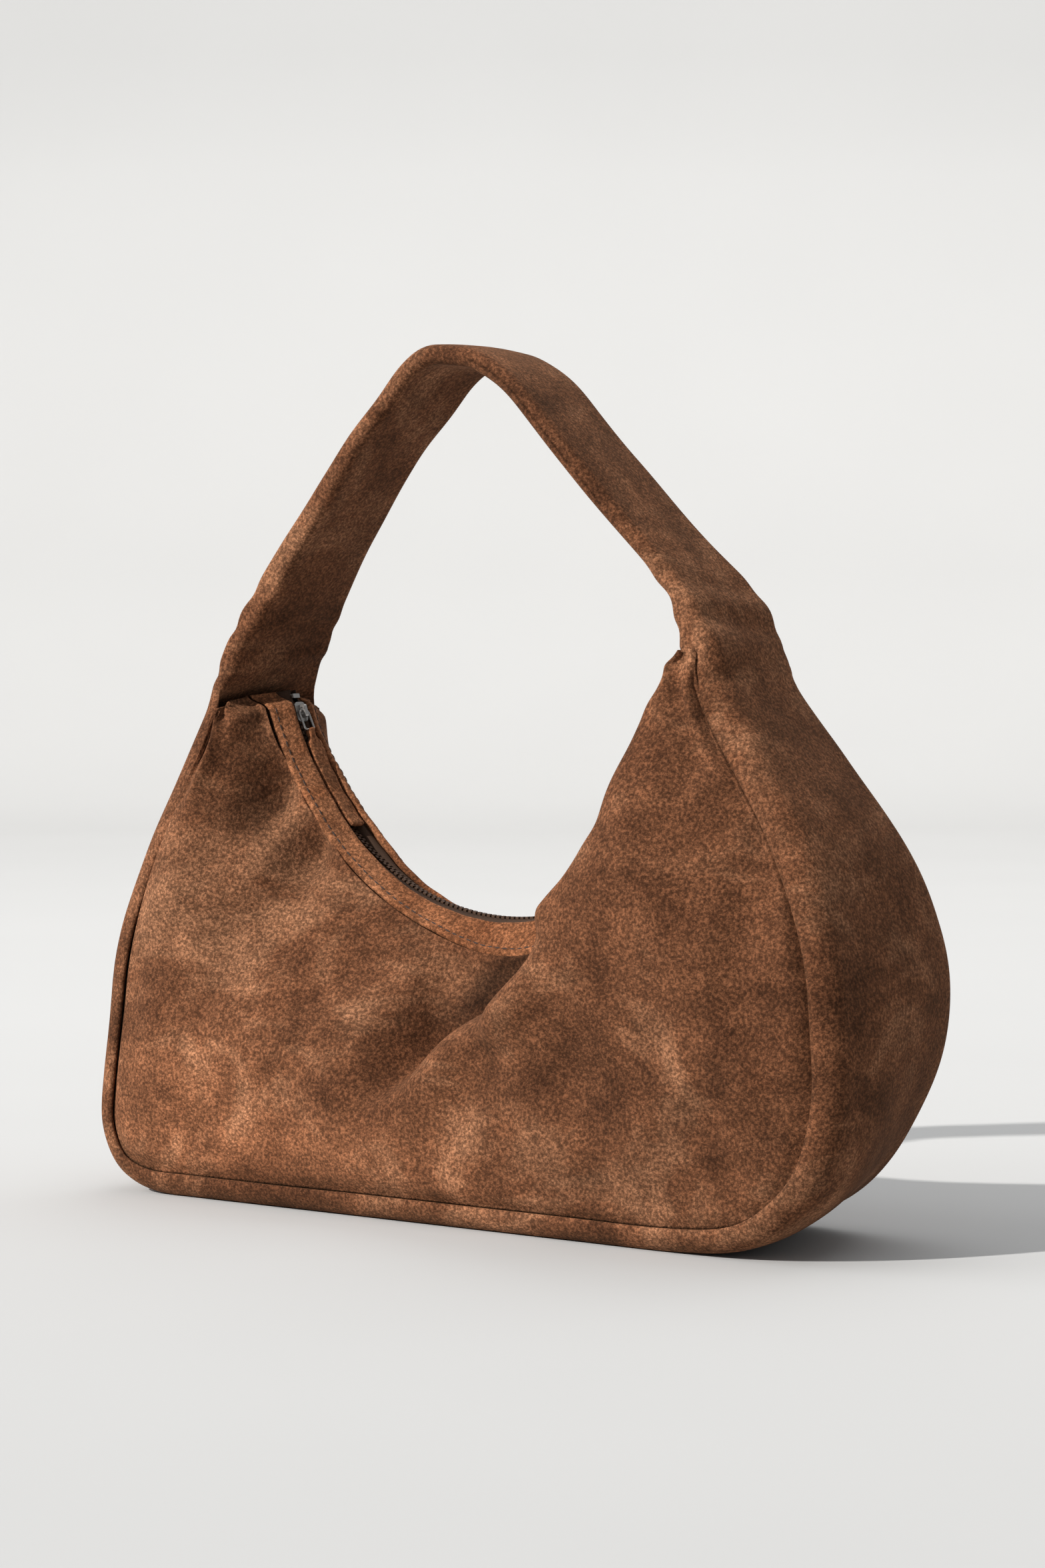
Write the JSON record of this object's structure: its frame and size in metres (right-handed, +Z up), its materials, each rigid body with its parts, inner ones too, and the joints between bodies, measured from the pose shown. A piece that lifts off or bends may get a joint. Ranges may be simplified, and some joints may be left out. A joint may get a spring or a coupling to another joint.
{
  "type": "hobo bag",
  "caption": "Soft suede hobo bag with a scooped zip top, boxy gusset and one wide shoulder strap that grows out of the gusset.",
  "frame": {"origin": "on the floor under the middle of the bag's bounding box", "axes": "+Z up, +X to the right seen from the front, -Y towards the front"},
  "size_m": [0.452, 0.1434, 0.43],
  "materials": {
    "suede": "brown suede, matt brushed nap",
    "lining": "brown cotton lining",
    "webbing": "woven reinforcement",
    "padding": "foam padding",
    "board": "stiffener board",
    "zip_tape": "dark brown woven tape",
    "zip_teeth": "dark brown moulded nylon",
    "nickel": "brushed nickel"
  },
  "bodies": {
    "root": {"front_panel": "suede", "back_panel": "suede", "gusset_bottom": "suede", "gusset_left": "suede", "gusset_right": "suede", "strap_root_left": "suede", "strap_root_right": "suede", "strap_anchor_left": "webbing", "strap_anchor_right": "webbing", "front_facing": "suede", "back_facing": "suede", "zip_tape_front": "zip_tape", "zip_tape_back": "zip_tape", "zip_teeth_front": "zip_teeth", "zip_teeth_back": "zip_teeth", "zip_stop_left": "nickel", "zip_stop_right": "nickel", "lining_front": "lining", "lining_back": "lining", "lining_gusset": "lining", "lining_pocket": "lining", "base_board": "board"},
    "strap": {"strap_outer": "suede", "strap_core": "padding", "strap_inner": "suede"},
    "slider": {"slider_body": "nickel", "slider_bridge": "nickel"},
    "puller": {"puller_ring": "nickel"},
    "tab": {"pull_tab": "suede"}
  },
  "joints": [
    {"name": "strap_fold", "type": "hinge", "parent": "root", "child": "strap", "pos_m": [0, 0, 0.306], "axis": [1, 0, 0], "range_deg": [-60, 60]},
    {"name": "zip_travel", "type": "hinge", "parent": "root", "child": "slider", "pos_m": [-0.004, 0, 0.292], "axis": [0, -1, 0], "range_deg": [0, 146], "deforming": ["zip_teeth_front", "zip_teeth_back"]},
    {"name": "puller_swing", "type": "hinge", "parent": "slider", "child": "puller", "pos_m": [-0.13721, 0, 0.25127], "axis": [0, -1, 0], "range_deg": [0, 110]},
    {"name": "tab_swing", "type": "hinge", "parent": "puller", "child": "tab", "pos_m": [-0.13278, 0, 0.24176], "axis": [0, -1, 0], "range_deg": [0, 40]}
  ],
  "couplings": [
    {"joint": "puller_swing", "follows": "zip_travel", "ratio": 0.73973}
  ]
}
